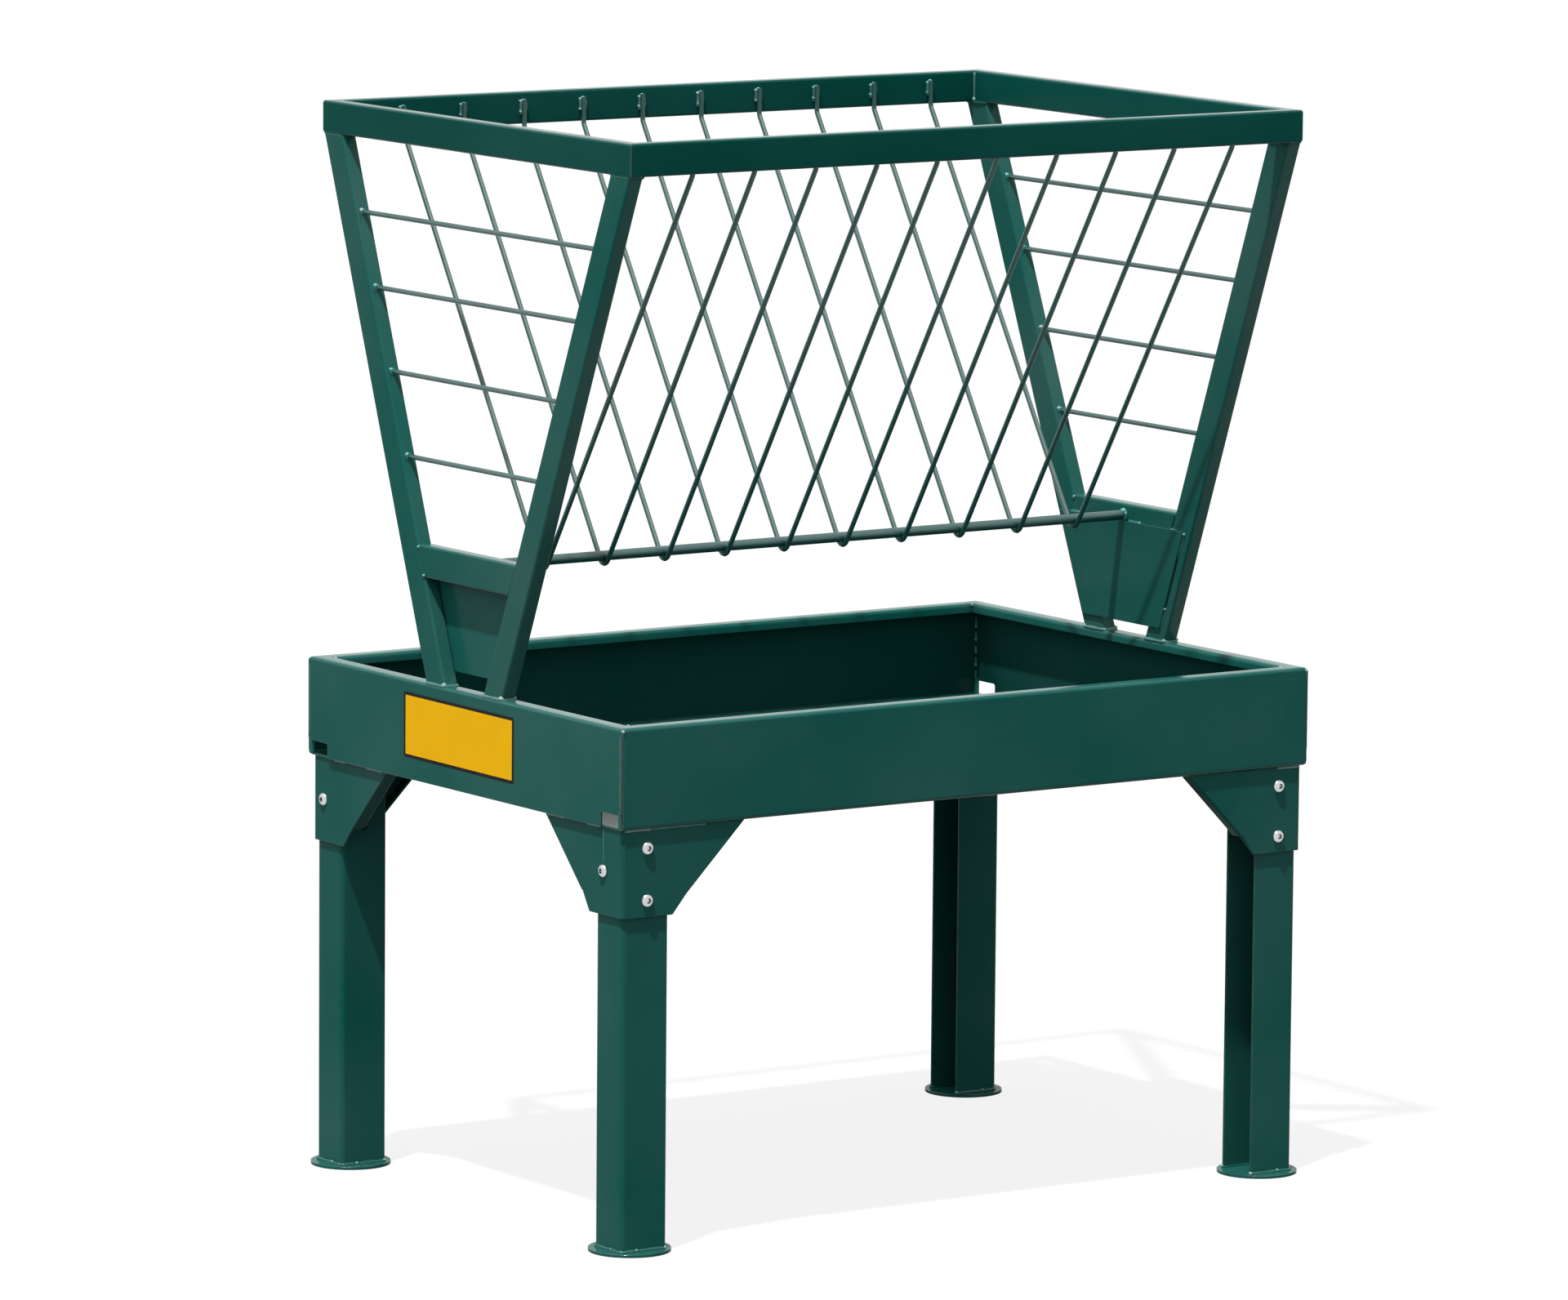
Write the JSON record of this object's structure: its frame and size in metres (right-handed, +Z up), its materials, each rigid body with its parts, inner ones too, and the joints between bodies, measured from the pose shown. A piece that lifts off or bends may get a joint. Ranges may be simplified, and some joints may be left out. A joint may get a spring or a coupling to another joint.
{
  "type": "square bale feeder",
  "caption": "Free-standing steel feeder: a V shaped rack of bent rods holds a square bale over a shallow catch tray on bolted channel legs.",
  "frame": {"origin": "on the ground, under the middle of the tray", "axes": "+X along the tray towards its right end, +Y from the front to the back, +Z up"},
  "size_m": [1.3128, 0.9388, 1.6885],
  "materials": {
    "tray_paint": "gloss",
    "frame_paint": "gloss",
    "rod_paint": "gloss",
    "leg_paint": "gloss",
    "bolt_zinc": "satin"
  },
  "bodies": {
    "root": {"tray_pan": "tray_paint", "tray_end_left": "tray_paint", "tray_end_right": "tray_paint", "leg_bracket_front_left": "leg_paint", "leg_bracket_front_right": "leg_paint", "leg_bracket_back_left": "leg_paint", "leg_bracket_back_right": "leg_paint", "leg_front_left": "leg_paint", "leg_front_right": "leg_paint", "leg_back_left": "leg_paint", "leg_back_right": "leg_paint", "foot_plate_front_left": "leg_paint", "foot_plate_front_right": "leg_paint", "foot_plate_back_left": "leg_paint", "foot_plate_back_right": "leg_paint", "bolt_front_left_upper": "bolt_zinc", "bolt_front_left_lower": "bolt_zinc", "bolt_front_left_side": "bolt_zinc", "bolt_front_right_upper": "bolt_zinc", "bolt_front_right_lower": "bolt_zinc", "bolt_front_right_side": "bolt_zinc", "bolt_back_left_upper": "bolt_zinc", "bolt_back_left_lower": "bolt_zinc", "bolt_back_left_side": "bolt_zinc", "bolt_back_right_upper": "bolt_zinc", "bolt_back_right_lower": "bolt_zinc", "bolt_back_right_side": "bolt_zinc", "top_rail_front": "frame_paint", "top_rail_back": "frame_paint", "top_rail_left": "frame_paint", "top_rail_right": "frame_paint", "post_left_front": "frame_paint", "post_left_back": "frame_paint", "cross_tube_left": "frame_paint", "baffle_plate_left": "tray_paint", "end_rod_left_1": "rod_paint", "end_rod_left_2": "rod_paint", "end_rod_left_3": "rod_paint", "end_rod_left_4": "rod_paint", "post_right_front": "frame_paint", "post_right_back": "frame_paint", "cross_tube_right": "frame_paint", "baffle_plate_right": "tray_paint", "end_rod_right_1": "rod_paint", "end_rod_right_2": "rod_paint", "end_rod_right_3": "rod_paint", "end_rod_right_4": "rod_paint", "bottom_rod": "rod_paint", "v_rod_01": "rod_paint", "v_rod_02": "rod_paint", "v_rod_03": "rod_paint", "v_rod_04": "rod_paint", "v_rod_05": "rod_paint", "v_rod_06": "rod_paint", "v_rod_07": "rod_paint", "v_rod_08": "rod_paint", "v_rod_09": "rod_paint", "v_rod_10": "rod_paint"}
  },
  "joints": []
}
